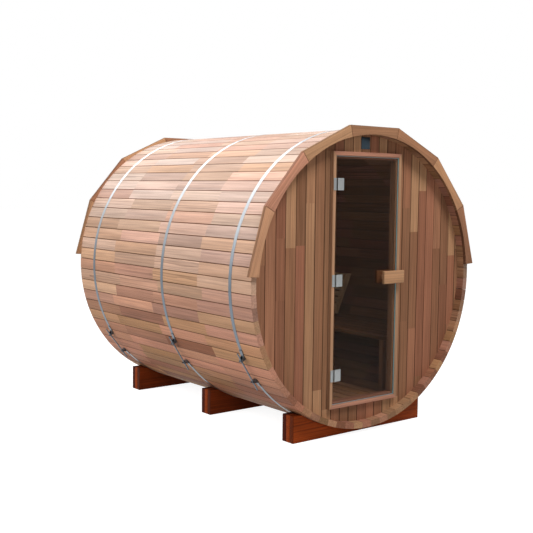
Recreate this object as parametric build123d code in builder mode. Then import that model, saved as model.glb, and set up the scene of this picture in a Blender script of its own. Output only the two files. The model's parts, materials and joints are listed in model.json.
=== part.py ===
"""Outdoor barrel sauna in cedar with a glass door, in millimetres.

The barrel lies along Y and its door faces -Y.  X is to the right seen from the front and Z is up.
The origin is on the ground, under the middle of the barrel, on the foot of the middle cradle.
"""

import os
from math import atan2, cos, degrees, pi, radians, sin, sqrt, tan

from build123d import *

# Barrel
BARREL_LENGTH = 2400
STAVE_COUNT = 76
STAVES_PER_NODE = 6
BARREL_RADIUS = 1065
STAVE_THICKNESS = 42
STAVE_GAP = 0.3

# Trim boards on the stave ends
TRIM_BOARDS = 7
TRIM_BOARD_ANGLE = 24.6
TRIM_THICKNESS = 24
TRIM_OVERHANG = 39
TRIM_INNER_LIP = 2
MITRE_GAP = 0.3

# End walls, seated in a groove round the inside of the staves
WALL_THICKNESS = 42
WALL_SETBACK = 88
GROOVE_DEPTH = 10
SEAT_CLEARANCE = 0.3

# Door frame and door
FRAME_WIDTH = 674
FRAME_END_MARGIN = 123
FRAME_FACE = 28
FRAME_PROUD = 27
DOOR_GAP = 5
GLASS_THICKNESS = 8
STOP_LAP = 15
STOP_CLEARANCE = 7

# Hinges
HINGE_COUNT = 3
HINGE_END_MARGIN = 232
HINGE_CENTRE_RISE = 6
HINGE_HEIGHT = 84
HINGE_PLATE = 5
HINGE_KNUCKLE_RADIUS = 6
HINGE_PIN_RADIUS = 3
HINGE_PIN_CLEARANCE = 0.15
HINGE_PIVOT_INSET = 40
HINGE_PIVOT_PROUD = 9
HINGE_LEAF_MARGIN = 3
HINGE_CLAMP_WIDTH = 52
HINGE_KNUCKLE_GAP = 1
HINGE_WEB_LAP = 1

# Handle: a plank each side of the glass on two square standoffs
HANDLE_LENGTH = 206
HANDLE_HEIGHT = 92
HANDLE_THICKNESS = 23
HANDLE_STANDOFF = 22
HANDLE_OVERHANG = 6
HANDLE_RISE = 8
STANDOFF_SIDE = 28
STANDOFF_EDGE = 36
STANDOFF_SPACING = 100
HANDLE_BOLT_RADIUS = 4
HANDLE_BOLT_CLEARANCE = 0.3
HANDLE_BOLT_HEAD = 8

# Hoops and their tensioners, low on the left side
BAND_WIDTH = 32
BAND_THICKNESS = 1.2
BAND_CLEARANCE = 0.3
BAND_FRONT_SETBACK = 252
BAND_MIDDLE_SHIFT = -103
BAND_REAR_SETBACK = 265
UPPER_EAR_ANGLE = 118.2
REAR_TENSIONER_TURN = 4.8
EAR_SPAN = 172
EAR_HEIGHT = 38
LUG_PLATE = 3
LUG_LENGTH = 72
GUSSET_LENGTH = 30
ROD_RADIUS = 5
ROD_CLEARANCE = 0.5
ROD_PROUD = 25
UPPER_ROD_TAIL = 66
LOWER_ROD_TAIL = 76

# Cradles
CRADLE_LENGTH = 1254
CRADLE_HEIGHT = 190
CRADLE_WEB = 37.8
CRADLE_PLIES = 3
CRADLE_PLY = 40
PLY_GAP = 0.3
CRADLE_CHAMFER = 3
CRADLE_FRONT_SETBACK = 163
CRADLE_MIDDLE_SHIFT = -48
CRADLE_REAR_SETBACK = 184
BAND_RELIEF = 3

# Floor inside
FLOOR_RISE = 118
FLOOR_BOARD_WIDTH = 90
FLOOR_BOARD_GAP = 10
FLOOR_BOARD_THICKNESS = 25
FLOOR_BEARERS = 4
BEARER_END_MARGIN = 115
BEARER_THICKNESS = 40
INNER_CLEARANCE = 10

# Bench on the right, with its backrest
SEAT_RISE = 426
BENCH_WALL_GAP = 15.2
BENCH_SLATS = 5
BENCH_SLAT_WIDTH = 85
BENCH_SLAT_GAP = 12
BENCH_SLAT_THICKNESS = 28
BENCH_SUPPORTS = 3
SUPPORT_END_MARGIN = 160
BENCH_RAIL_DEPTH = 70
BENCH_LEG_WIDTH = 70
BENCH_LEG_INSET = 10
FLOOR_LEG_GAP = 5
BACKREST_START = 73
BACKREST_END_MARGIN = 87
BACKREST_RIBS = 3
BACKREST_RIB_THICKNESS = 30
BACKREST_SLATS = 7
BACKREST_SLAT_WIDTH = 42
BACKREST_SLAT_THICKNESS = 15
BACKREST_SLAT_SEAT = 3
BACKREST_FOOT = 50
BACKREST_FOOT_RISE = 30
BACKREST_FOOT_GAP = 109
BACKREST_WAIST_RISE = 120
BACKREST_WAIST_GAP = 93
BACKREST_SHOULDER_RISE = 310
BACKREST_SHOULDER_GAP = 74
BACKREST_HEAD_RISE = 375
BACKREST_HEAD_GAP = 42

# Worked out from the sizes above
FRONT_Y = -BARREL_LENGTH / 2
REAR_Y = BARREL_LENGTH / 2
STAVE_LENGTH = BARREL_LENGTH - 2 * TRIM_THICKNESS
PITCH_ANGLE = 360 / STAVE_COUNT
INNER_RADIUS = BARREL_RADIUS - STAVE_THICKNESS
ROOM_RADIUS = INNER_RADIUS - SEAT_CLEARANCE
OUTER_CORNER_RADIUS = BARREL_RADIUS / cos(radians(PITCH_ANGLE / 2))
SADDLE_RADIUS = OUTER_CORNER_RADIUS + SEAT_CLEARANCE
AXIS_HEIGHT = CRADLE_WEB + SADDLE_RADIUS
WALL_FACE_Y = FRONT_Y + WALL_SETBACK
WALL_BACK_Y = WALL_FACE_Y + WALL_THICKNESS
WALL_RADIUS = INNER_RADIUS + GROOVE_DEPTH - SEAT_CLEARANCE
FRAME_FRONT_Y = WALL_FACE_Y - FRAME_PROUD
FRAME_HEIGHT = 2 * (INNER_RADIUS - FRAME_END_MARGIN)
GLASS_WIDTH = FRAME_WIDTH - 2 * FRAME_FACE - 2 * DOOR_GAP
GLASS_HEIGHT = FRAME_HEIGHT - 2 * FRAME_FACE - 2 * DOOR_GAP
GLASS_FRONT_Y = FRAME_FRONT_Y
GLASS_BACK_Y = GLASS_FRONT_Y + GLASS_THICKNESS
STOP_FRONT_Y = GLASS_BACK_Y + STOP_CLEARANCE
STOP_FACE = FRAME_FACE + DOOR_GAP + STOP_LAP
PIVOT_X = -FRAME_WIDTH / 2 + HINGE_PIVOT_INSET
PIVOT_Y = GLASS_FRONT_Y - HINGE_PIVOT_PROUD
INNER_LENGTH = BARREL_LENGTH - 2 * (WALL_SETBACK + WALL_THICKNESS + INNER_CLEARANCE)
FLOOR_Z = AXIS_HEIGHT - INNER_RADIUS + FLOOR_RISE
FLOOR_UNDERSIDE_Z = FLOOR_Z - FLOOR_BOARD_THICKNESS
SEAT_Z = FLOOR_Z + SEAT_RISE
SEAT_UNDERSIDE_Z = SEAT_Z - BENCH_SLAT_THICKNESS

os.makedirs("parts", exist_ok=True)


def upright(y):
    """The plane across the barrel at y: sketch x is X, sketch y is Z, and it extrudes towards the front."""
    return Plane.XZ.offset(-y)


def around(angle, radius):
    """A point across the barrel, at an angle from the top that grows towards the right."""
    return Vector(radius * sin(radians(angle)), AXIS_HEIGHT + radius * cos(radians(angle)))


def wall_reach(z):
    """How far the inside of the barrel reaches from its middle at height z."""
    return sqrt(ROOM_RADIUS**2 - (z - AXIS_HEIGHT) ** 2)


def save(built, name):
    built.part.label = name
    export_step(built.part, f"parts/{name}.step")


# Staves
with BuildPart() as stave:
    with BuildSketch(upright(STAVE_LENGTH / 2)):
        half_pitch = tan(radians(PITCH_ANGLE / 2))
        outer_half = BARREL_RADIUS * half_pitch - STAVE_GAP / 2
        inner_half = INNER_RADIUS * half_pitch - STAVE_GAP / 2
        Polygon(
            (-inner_half, INNER_RADIUS), (inner_half, INNER_RADIUS),
            (outer_half, BARREL_RADIUS), (-outer_half, BARREL_RADIUS),
            align=None,
        )
    extrude(amount=STAVE_LENGTH)
    for groove_back in (WALL_BACK_Y + SEAT_CLEARANCE, -WALL_FACE_Y + SEAT_CLEARANCE):
        with BuildSketch(upright(groove_back)):
            with Locations((0, INNER_RADIUS)):
                Rectangle(4 * inner_half, 2 * GROOVE_DEPTH)
        extrude(amount=WALL_THICKNESS + 2 * SEAT_CLEARANCE, mode=Mode.SUBTRACT)

for first in range(0, STAVE_COUNT, STAVES_PER_NODE):
    with BuildPart() as stave_group:
        for index in range(first, min(first + STAVES_PER_NODE, STAVE_COUNT)):
            with Locations(Location((0, 0, AXIS_HEIGHT), (0, index * PITCH_ANGLE, 0))):
                add(stave.part)
    save(stave_group, f"staves_{first // STAVES_PER_NODE + 1:02d}")

# Trim boards on both ends
TRIM_CORNER_RADIUS = BARREL_RADIUS + TRIM_OVERHANG
TRIM_INNER_RADIUS = INNER_RADIUS - TRIM_INNER_LIP
for name, trim_back in (("front_trim", FRONT_Y + TRIM_THICKNESS), ("rear_trim", REAR_Y)):
    with BuildPart() as trim:
        for board in range(TRIM_BOARDS):
            start = (board - TRIM_BOARDS / 2) * TRIM_BOARD_ANGLE
            end = start + TRIM_BOARD_ANGLE
            slip_outer = MITRE_GAP / 2 / TRIM_CORNER_RADIUS * 180 / pi
            slip_inner = MITRE_GAP / 2 / TRIM_INNER_RADIUS * 180 / pi
            with BuildSketch(upright(trim_back)):
                with BuildLine():
                    outer_start = around(start + slip_outer, TRIM_CORNER_RADIUS)
                    outer_end = around(end - slip_outer, TRIM_CORNER_RADIUS)
                    inner_start = around(start + slip_inner, TRIM_INNER_RADIUS)
                    inner_end = around(end - slip_inner, TRIM_INNER_RADIUS)
                    inner_middle = around((start + end) / 2, TRIM_INNER_RADIUS)
                    Line(outer_start, outer_end)
                    Line(outer_end, inner_end)
                    ThreePointArc(inner_end, inner_middle, inner_start)
                    Line(inner_start, outer_start)
                make_face()
            extrude(amount=TRIM_THICKNESS)
    save(trim, name)

# End walls
HOLE_HALF_WIDTH = FRAME_WIDTH / 2 + SEAT_CLEARANCE
HOLE_HALF_HEIGHT = FRAME_HEIGHT / 2 + SEAT_CLEARANCE
SIDE_WIDTH = WALL_RADIUS - HOLE_HALF_WIDTH
CAP_HEIGHT = WALL_RADIUS - HOLE_HALF_HEIGHT
SIDE_CENTRE = HOLE_HALF_WIDTH + SIDE_WIDTH / 2
CAP_CENTRE = HOLE_HALF_HEIGHT + CAP_HEIGHT / 2
wall_pieces = {
    "front_wall_left": (-SIDE_CENTRE, 0, SIDE_WIDTH, 2 * WALL_RADIUS),
    "front_wall_right": (SIDE_CENTRE, 0, SIDE_WIDTH, 2 * WALL_RADIUS),
    "front_wall_over_door": (0, CAP_CENTRE, FRAME_WIDTH, CAP_HEIGHT),
    "front_wall_under_door": (0, -CAP_CENTRE, FRAME_WIDTH, CAP_HEIGHT),
}
for name, (centre_x, centre_z, width, height) in wall_pieces.items():
    with BuildPart() as wall_piece:
        with BuildSketch(upright(WALL_BACK_Y)):
            with Locations((0, AXIS_HEIGHT)):
                Circle(WALL_RADIUS)
            with Locations((centre_x, AXIS_HEIGHT + centre_z)):
                Rectangle(width, height, mode=Mode.INTERSECT)
        extrude(amount=WALL_THICKNESS)
    save(wall_piece, name)

with BuildPart() as rear_wall:
    with BuildSketch(upright(-WALL_FACE_Y)):
        with Locations((0, AXIS_HEIGHT)):
            Circle(WALL_RADIUS)
    extrude(amount=WALL_THICKNESS)
save(rear_wall, "rear_wall")

# Door frame: four mitred bars, each rebated so that a stop stands behind the glass
frame_bars = {
    "door_head": (FRAME_WIDTH / 2, FRAME_HEIGHT / 2, 0),
    "door_jamb_right": (FRAME_HEIGHT / 2, FRAME_WIDTH / 2, 90),
    "door_sill": (FRAME_WIDTH / 2, FRAME_HEIGHT / 2, 180),
    "door_jamb_left": (FRAME_HEIGHT / 2, FRAME_WIDTH / 2, 270),
}
for name, (half_run, reach, turn) in frame_bars.items():
    with BuildPart() as bar:
        for back, depth, face in (
            (STOP_FRONT_Y, STOP_FRONT_Y - FRAME_FRONT_Y, FRAME_FACE),
            (WALL_BACK_Y, WALL_BACK_Y - STOP_FRONT_Y, STOP_FACE),
        ):
            with BuildSketch(upright(back)):
                long_half = half_run - MITRE_GAP
                Polygon(
                    (-long_half, reach), (long_half, reach),
                    (long_half - face, reach - face), (-long_half + face, reach - face),
                    align=None,
                )
            extrude(amount=depth)
    with BuildPart() as frame_bar:
        with Locations(Location((0, 0, AXIS_HEIGHT), (0, turn, 0))):
            add(bar.part)
    save(frame_bar, name)

# Handle positions are shared by the glass, planks, standoffs and bolts
HANDLE_LEFT = FRAME_WIDTH / 2 + HANDLE_OVERHANG - HANDLE_LENGTH
HANDLE_CENTRE_X = HANDLE_LEFT + HANDLE_LENGTH / 2
HANDLE_Z = AXIS_HEIGHT + HANDLE_RISE
FIRST_STANDOFF_X = HANDLE_LEFT + STANDOFF_EDGE
HANDLE_OUTER_BACK_Y = GLASS_FRONT_Y - HANDLE_STANDOFF
HANDLE_INNER_FRONT_Y = GLASS_BACK_Y + HANDLE_STANDOFF
HANDLE_INNER_BACK_Y = HANDLE_INNER_FRONT_Y + HANDLE_THICKNESS
INNER_HANDLE_LENGTH = FRAME_WIDTH / 2 - STOP_FACE - DOOR_GAP - HANDLE_LEFT
standoff_places = [(FIRST_STANDOFF_X + step * STANDOFF_SPACING, HANDLE_Z) for step in range(2)]
BOLT_HOLE_RADIUS = HANDLE_BOLT_RADIUS + HANDLE_BOLT_CLEARANCE

# Door glass
with BuildPart() as door_glass:
    with BuildSketch(upright(GLASS_BACK_Y)):
        with Locations((0, AXIS_HEIGHT)):
            Rectangle(GLASS_WIDTH, GLASS_HEIGHT)
        with Locations(*standoff_places):
            Circle(BOLT_HOLE_RADIUS, mode=Mode.SUBTRACT)
    extrude(amount=GLASS_THICKNESS)
save(door_glass, "door_glass")

# Handle
with BuildPart() as handle_outer:
    with BuildSketch(upright(HANDLE_OUTER_BACK_Y)):
        with Locations((HANDLE_CENTRE_X, HANDLE_Z)):
            Rectangle(HANDLE_LENGTH, HANDLE_HEIGHT)
    extrude(amount=HANDLE_THICKNESS)
save(handle_outer, "handle_outer")

with BuildPart() as handle_inner:
    with BuildSketch(upright(HANDLE_INNER_BACK_Y)):
        with Locations((HANDLE_LEFT + INNER_HANDLE_LENGTH / 2, HANDLE_Z)):
            Rectangle(INNER_HANDLE_LENGTH, HANDLE_HEIGHT)
        with Locations(*standoff_places):
            Circle(BOLT_HOLE_RADIUS, mode=Mode.SUBTRACT)
    extrude(amount=HANDLE_THICKNESS)
save(handle_inner, "handle_inner")

with BuildPart() as handle_standoffs:
    for standoff_back in (GLASS_FRONT_Y, HANDLE_INNER_FRONT_Y):
        with BuildSketch(upright(standoff_back)):
            with Locations(*standoff_places):
                Rectangle(STANDOFF_SIDE, STANDOFF_SIDE)
                Circle(BOLT_HOLE_RADIUS, mode=Mode.SUBTRACT)
        extrude(amount=HANDLE_STANDOFF)
save(handle_standoffs, "handle_standoffs")

with BuildPart() as handle_bolts:
    with BuildSketch(upright(HANDLE_INNER_BACK_Y)):
        with Locations(*standoff_places):
            Circle(HANDLE_BOLT_RADIUS)
    extrude(amount=HANDLE_INNER_BACK_Y - HANDLE_OUTER_BACK_Y - HANDLE_BOLT_CLEARANCE)
    with BuildSketch(upright(HANDLE_INNER_BACK_Y + HANDLE_BOLT_RADIUS)):
        with Locations(*standoff_places):
            RegularPolygon(HANDLE_BOLT_HEAD, 6)
    extrude(amount=HANDLE_BOLT_RADIUS)
save(handle_bolts, "handle_bolts")

# Hinges of the lift-off kind: a pin stands on the frame leaf's knuckle, and the clamp's drops over it
HINGE_PITCH = (FRAME_HEIGHT - 2 * HINGE_END_MARGIN) / (HINGE_COUNT - 1)
hinge_heights = [
    AXIS_HEIGHT + HINGE_CENTRE_RISE + (index - (HINGE_COUNT - 1) / 2) * HINGE_PITCH
    for index in range(HINGE_COUNT)
]
KNUCKLE_HEIGHT = (HINGE_HEIGHT - HINGE_KNUCKLE_GAP) / 2
KNUCKLE_HOLE_RADIUS = HINGE_PIN_RADIUS + HINGE_PIN_CLEARANCE
LEAF_LEFT = -FRAME_WIDTH / 2 + HINGE_LEAF_MARGIN
LEAF_RIGHT = PIVOT_X - HINGE_KNUCKLE_RADIUS
CLAMP_LEFT = PIVOT_X + HINGE_KNUCKLE_RADIUS
PLATE_FRONT_Y = GLASS_FRONT_Y - HINGE_PLATE
STOP_INNER_X = -FRAME_WIDTH / 2 + STOP_FACE


def knuckle(height, plate_x):
    """One hinge knuckle standing on Z = 0, with the web that joins it to a plate ending at plate_x."""
    with BuildPart() as barrel:
        with BuildSketch():
            with Locations((PIVOT_X, PIVOT_Y)):
                Circle(HINGE_KNUCKLE_RADIUS)
            Polygon(
                (PIVOT_X, PIVOT_Y - HINGE_KNUCKLE_RADIUS), (plate_x, PLATE_FRONT_Y),
                (plate_x, PLATE_FRONT_Y + HINGE_PLATE / 2), (PIVOT_X, PIVOT_Y + HINGE_KNUCKLE_RADIUS),
                align=None,
            )
        extrude(amount=height)
    return barrel.part


leaf_knuckle = knuckle(KNUCKLE_HEIGHT, LEAF_RIGHT - HINGE_WEB_LAP)
clamp_knuckle = knuckle(KNUCKLE_HEIGHT, CLAMP_LEFT + HINGE_WEB_LAP)

with BuildPart() as hinge_frame_leaves:
    for height_z in hinge_heights:
        bottom = height_z - HINGE_HEIGHT / 2
        with BuildSketch(Plane.XY.offset(bottom)):
            with Locations((LEAF_LEFT, PLATE_FRONT_Y)):
                Rectangle(LEAF_RIGHT - LEAF_LEFT, HINGE_PLATE, align=(Align.MIN, Align.MIN))
        extrude(amount=HINGE_HEIGHT)
        with Locations((0, 0, bottom)):
            add(leaf_knuckle)
save(hinge_frame_leaves, "hinge_frame_leaves")

with BuildPart() as hinge_glass_clamps:
    for height_z in hinge_heights:
        bottom = height_z - HINGE_HEIGHT / 2
        with BuildSketch(Plane.XY.offset(bottom)):
            with Locations((CLAMP_LEFT, PLATE_FRONT_Y)):
                Rectangle(HINGE_CLAMP_WIDTH, HINGE_PLATE, align=(Align.MIN, Align.MIN))
            with Locations((STOP_INNER_X + DOOR_GAP, GLASS_BACK_Y)):
                Rectangle(
                    CLAMP_LEFT + HINGE_CLAMP_WIDTH - STOP_INNER_X - DOOR_GAP, HINGE_PLATE,
                    align=(Align.MIN, Align.MIN),
                )
        extrude(amount=HINGE_HEIGHT)
        clamp_knuckle_bottom = bottom + HINGE_HEIGHT - KNUCKLE_HEIGHT
        with Locations((0, 0, clamp_knuckle_bottom)):
            add(clamp_knuckle)
        with BuildSketch(Plane.XY.offset(clamp_knuckle_bottom)):
            with Locations((PIVOT_X, PIVOT_Y)):
                Circle(KNUCKLE_HOLE_RADIUS)
        extrude(amount=KNUCKLE_HEIGHT, mode=Mode.SUBTRACT)
save(hinge_glass_clamps, "hinge_glass_clamps")

with BuildPart() as hinge_pins:
    for height_z in hinge_heights:
        with BuildSketch(Plane.XY.offset(height_z - HINGE_HEIGHT / 2 + KNUCKLE_HEIGHT)):
            with Locations((PIVOT_X, PIVOT_Y)):
                Circle(HINGE_PIN_RADIUS)
        extrude(amount=HINGE_HEIGHT - KNUCKLE_HEIGHT)
save(hinge_pins, "hinge_pins")

# Hoops: a thin strap on the stave faces, open where its tensioner closes it.  Each strap end
# carries a lug with a forked ear, and a threaded rod through both ears draws the two together.
BAND_INSIDE = BARREL_RADIUS + BAND_CLEARANCE
BAND_OUTSIDE = BAND_INSIDE + BAND_THICKNESS
LUG_SEAT_RADIUS = BAND_OUTSIDE / cos(radians(PITCH_ANGLE / 2)) + SEAT_CLEARANCE
LOWER_EAR_ANGLE = UPPER_EAR_ANGLE + degrees(EAR_SPAN / LUG_SEAT_RADIUS)
LUG_ANGLE = degrees(LUG_LENGTH / LUG_SEAT_RADIUS)
ROD_RUN_RADIUS = LUG_SEAT_RADIUS + ROD_PROUD
band_names = ("front", "middle", "rear")
band_stations = (FRONT_Y + BAND_FRONT_SETBACK, BAND_MIDDLE_SHIFT, REAR_Y - BAND_REAR_SETBACK)
band_turns = (0, 0, REAR_TENSIONER_TURN)

for name, station, turn in zip(band_names, band_stations, band_turns):
    band_back = station + BAND_WIDTH / 2
    with BuildPart() as band:
        with BuildSketch(upright(band_back)):
            with Locations((0, AXIS_HEIGHT)):
                RegularPolygon(BAND_OUTSIDE, STAVE_COUNT, major_radius=False, rotation=PITCH_ANGLE / 2)
                RegularPolygon(
                    BAND_INSIDE, STAVE_COUNT, major_radius=False, rotation=PITCH_ANGLE / 2,
                    mode=Mode.SUBTRACT,
                )
            Polygon(
                (0, AXIS_HEIGHT),
                around(-UPPER_EAR_ANGLE - turn, 2 * BARREL_RADIUS),
                around(-LOWER_EAR_ANGLE - turn, 2 * BARREL_RADIUS),
                align=None, mode=Mode.SUBTRACT,
            )
        extrude(amount=BAND_WIDTH)
    save(band, f"band_{name}")

    with BuildPart() as tensioner:
        for ear_angle, back in ((UPPER_EAR_ANGLE, 1), (LOWER_EAR_ANGLE, -1)):
            tail_angle = ear_angle - back * LUG_ANGLE
            ear_foot = around(-ear_angle - turn, LUG_SEAT_RADIUS)
            ear_place = Location((ear_foot.X, ear_foot.Y), ear_angle + turn)
            with BuildSketch(upright(band_back)):
                with Locations((0, AXIS_HEIGHT)):
                    Circle(LUG_SEAT_RADIUS + LUG_PLATE)
                    Circle(LUG_SEAT_RADIUS, mode=Mode.SUBTRACT)
                Polygon(
                    (0, AXIS_HEIGHT),
                    around(-ear_angle - turn, 2 * BARREL_RADIUS),
                    around(-tail_angle - turn, 2 * BARREL_RADIUS),
                    align=None, mode=Mode.INTERSECT,
                )
                with Locations(ear_place):
                    Polygon(
                        (0, 0), (back * LUG_PLATE, 0),
                        (back * LUG_PLATE, EAR_HEIGHT), (0, EAR_HEIGHT),
                        align=None,
                    )
            extrude(amount=BAND_WIDTH)
            for gusset_back in (band_back, band_back - BAND_WIDTH + LUG_PLATE):
                with BuildSketch(upright(gusset_back)):
                    with Locations(ear_place):
                        Polygon(
                            (back * LUG_PLATE / 2, 0), (back * GUSSET_LENGTH, 0),
                            (back * GUSSET_LENGTH, LUG_PLATE), (back * LUG_PLATE / 2, EAR_HEIGHT),
                            align=None,
                        )
                extrude(amount=LUG_PLATE)
            with BuildSketch(upright(station + ROD_RADIUS + ROD_CLEARANCE)):
                with Locations(ear_place):
                    with Locations((0, ROD_PROUD - ROD_RADIUS - ROD_CLEARANCE)):
                        Rectangle(4 * LUG_PLATE, EAR_HEIGHT, align=(Align.CENTER, Align.MIN))
            extrude(amount=2 * (ROD_RADIUS + ROD_CLEARANCE), mode=Mode.SUBTRACT)

        upper = around(-UPPER_EAR_ANGLE - turn, ROD_RUN_RADIUS)
        lower = around(-LOWER_EAR_ANGLE - turn, ROD_RUN_RADIUS)
        run = Vector(lower.X - upper.X, 0, lower.Y - upper.Y)
        rod_plane = Plane(origin=(upper.X, station, upper.Y), x_dir=(0, 1, 0), z_dir=run)
        with BuildSketch(rod_plane.offset(-UPPER_ROD_TAIL)):
            Circle(ROD_RADIUS)
        extrude(amount=UPPER_ROD_TAIL + run.length + LOWER_ROD_TAIL)
    save(tensioner, f"tensioner_{name}")

# Cradles: three planks bolted face to face, with a saddle cut for the barrel and room for a hoop
CRADLE_WIDTH = CRADLE_PLIES * CRADLE_PLY
cradle_stations = (FRONT_Y + CRADLE_FRONT_SETBACK, CRADLE_MIDDLE_SHIFT, REAR_Y - CRADLE_REAR_SETBACK)
for name, station in zip(band_names, cradle_stations):
    with BuildPart() as cradle:
        for ply in range(CRADLE_PLIES):
            ply_back = station - CRADLE_WIDTH / 2 + (ply + 1) * CRADLE_PLY - PLY_GAP / 2
            with BuildSketch(upright(ply_back)):
                with Locations((0, CRADLE_HEIGHT / 2)):
                    Rectangle(CRADLE_LENGTH, CRADLE_HEIGHT)
                with Locations((0, AXIS_HEIGHT)):
                    Circle(SADDLE_RADIUS, mode=Mode.SUBTRACT)
            extrude(amount=CRADLE_PLY - PLY_GAP)
        end_edges = cradle.edges().filter_by(Axis.Z)
        foot_edges = cradle.edges().filter_by(Axis.X).group_by(Axis.Z)[0]
        chamfer(end_edges + foot_edges, CRADLE_CHAMFER)
        for band_station in band_stations:
            if abs(band_station - station) < (CRADLE_WIDTH + BAND_WIDTH) / 2 + BAND_RELIEF:
                with BuildSketch(upright(band_station + BAND_WIDTH / 2 + BAND_RELIEF)):
                    with Locations((0, AXIS_HEIGHT)):
                        Circle(SADDLE_RADIUS + BAND_RELIEF)
                extrude(amount=BAND_WIDTH + 2 * BAND_RELIEF, mode=Mode.SUBTRACT)
    save(cradle, f"cradle_{name}")

# Bench width, which leaves the floor boards their room
BENCH_SLAT_PITCH = BENCH_SLAT_WIDTH + BENCH_SLAT_GAP
BENCH_DEPTH = BENCH_SLATS * BENCH_SLAT_PITCH - BENCH_SLAT_GAP
BENCH_FRONT = wall_reach(SEAT_UNDERSIDE_Z) - BENCH_WALL_GAP - BENCH_DEPTH
BENCH_LEG_LEFT = BENCH_FRONT + BENCH_LEG_INSET

# Floor
FLOOR_REACH = min(wall_reach(FLOOR_UNDERSIDE_Z), BENCH_LEG_LEFT - FLOOR_LEG_GAP)
FLOOR_PITCH = FLOOR_BOARD_WIDTH + FLOOR_BOARD_GAP
FLOOR_BOARDS = int((2 * FLOOR_REACH + FLOOR_BOARD_GAP) / FLOOR_PITCH)
FLOOR_WIDTH = FLOOR_BOARDS * FLOOR_PITCH - FLOOR_BOARD_GAP
with BuildPart() as floor_boards:
    with BuildSketch(Plane.XY.offset(FLOOR_UNDERSIDE_Z)):
        with GridLocations(FLOOR_PITCH, 0, FLOOR_BOARDS, 1):
            Rectangle(FLOOR_BOARD_WIDTH, INNER_LENGTH)
    extrude(amount=FLOOR_BOARD_THICKNESS)
save(floor_boards, "floor_boards")

BEARER_PITCH = (INNER_LENGTH - 2 * BEARER_END_MARGIN) / (FLOOR_BEARERS - 1)
with BuildPart() as floor_bearers:
    for index in range(FLOOR_BEARERS):
        bearer_y = (index - (FLOOR_BEARERS - 1) / 2) * BEARER_PITCH
        with BuildSketch(upright(bearer_y + BEARER_THICKNESS / 2)):
            with Locations((0, AXIS_HEIGHT)):
                Circle(ROOM_RADIUS)
            with Locations((0, FLOOR_UNDERSIDE_Z)):
                Rectangle(
                    FLOOR_WIDTH, BARREL_RADIUS, align=(Align.CENTER, Align.MAX), mode=Mode.INTERSECT
                )
        extrude(amount=BEARER_THICKNESS)
save(floor_bearers, "floor_bearers")

# Bench
SUPPORT_PITCH = (INNER_LENGTH - 2 * SUPPORT_END_MARGIN) / (BENCH_SUPPORTS - 1)
with BuildPart() as bench_slats:
    with BuildSketch(Plane.XY.offset(SEAT_UNDERSIDE_Z)):
        for index in range(BENCH_SLATS):
            slat_left = BENCH_FRONT + index * BENCH_SLAT_PITCH
            with Locations((slat_left, 0)):
                Rectangle(BENCH_SLAT_WIDTH, INNER_LENGTH, align=(Align.MIN, Align.CENTER))
    extrude(amount=BENCH_SLAT_THICKNESS)
save(bench_slats, "bench_slats")

with BuildPart() as bench_supports:
    for index in range(BENCH_SUPPORTS):
        support_y = (index - (BENCH_SUPPORTS - 1) / 2) * SUPPORT_PITCH
        with BuildSketch(upright(support_y + BEARER_THICKNESS / 2)):
            with Locations((BENCH_LEG_LEFT, SEAT_UNDERSIDE_Z)):
                Rectangle(BARREL_RADIUS, BENCH_RAIL_DEPTH, align=(Align.MIN, Align.MAX))
                Rectangle(BENCH_LEG_WIDTH, BARREL_RADIUS, align=(Align.MIN, Align.MAX))
            with Locations((0, AXIS_HEIGHT)):
                Circle(ROOM_RADIUS, mode=Mode.INTERSECT)
        extrude(amount=BEARER_THICKNESS)
save(bench_supports, "bench_supports")

# Backrest: curved ribs against the staves, with slats along the barrel seated in flats on their front
contour_points = [
    (wall_reach(SEAT_Z + rise) - gap, SEAT_Z + rise)
    for rise, gap in (
        (BACKREST_FOOT_RISE, BACKREST_FOOT_GAP),
        (BACKREST_WAIST_RISE, BACKREST_WAIST_GAP),
        (BACKREST_SHOULDER_RISE, BACKREST_SHOULDER_GAP),
        (BACKREST_HEAD_RISE, BACKREST_HEAD_GAP),
    )
]
foot_x, foot_z = contour_points[0]
head_x, head_z = contour_points[-1]
BACKREST_LENGTH = INNER_LENGTH / 2 - BACKREST_END_MARGIN - BACKREST_START
with BuildLine() as contour:
    Spline(*contour_points)
slat_places = []
for index in range(BACKREST_SLATS):
    share = (index + 0.5) / BACKREST_SLATS
    point = contour.line @ share
    heading = contour.line % share
    slat_places.append(Location((point.X, point.Y), degrees(atan2(heading.Y, heading.X))))

with BuildPart() as backrest_ribs:
    rib_pitch = (BACKREST_LENGTH - BACKREST_RIB_THICKNESS) / (BACKREST_RIBS - 1)
    for index in range(BACKREST_RIBS):
        with BuildSketch(upright(BACKREST_START + BACKREST_RIB_THICKNESS + index * rib_pitch)):
            with BuildLine():
                Spline(*contour_points)
                Polyline(
                    (head_x, head_z), (wall_reach(head_z), head_z),
                    (foot_x + BACKREST_FOOT, foot_z), (foot_x, foot_z),
                )
            make_face()
            with Locations((0, AXIS_HEIGHT)):
                Circle(ROOM_RADIUS, mode=Mode.INTERSECT)
            with Locations(*slat_places):
                Rectangle(
                    BACKREST_SLAT_WIDTH + 2 * SEAT_CLEARANCE, 2 * (BACKREST_SLAT_SEAT + SEAT_CLEARANCE),
                    mode=Mode.SUBTRACT,
                )
        extrude(amount=BACKREST_RIB_THICKNESS)
save(backrest_ribs, "backrest_ribs")

with BuildPart() as backrest_slats:
    with BuildSketch(upright(BACKREST_START + BACKREST_LENGTH)):
        with Locations(*slat_places):
            with Locations((0, -BACKREST_SLAT_SEAT)):
                Rectangle(
                    BACKREST_SLAT_WIDTH, BACKREST_SLAT_THICKNESS, align=(Align.CENTER, Align.MIN)
                )
    extrude(amount=BACKREST_LENGTH)
save(backrest_slats, "backrest_slats")
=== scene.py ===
"""Barrel sauna: cedar boards, steel hoops, tinted glass door and the studio around it."""

import json
import math
import random

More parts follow.
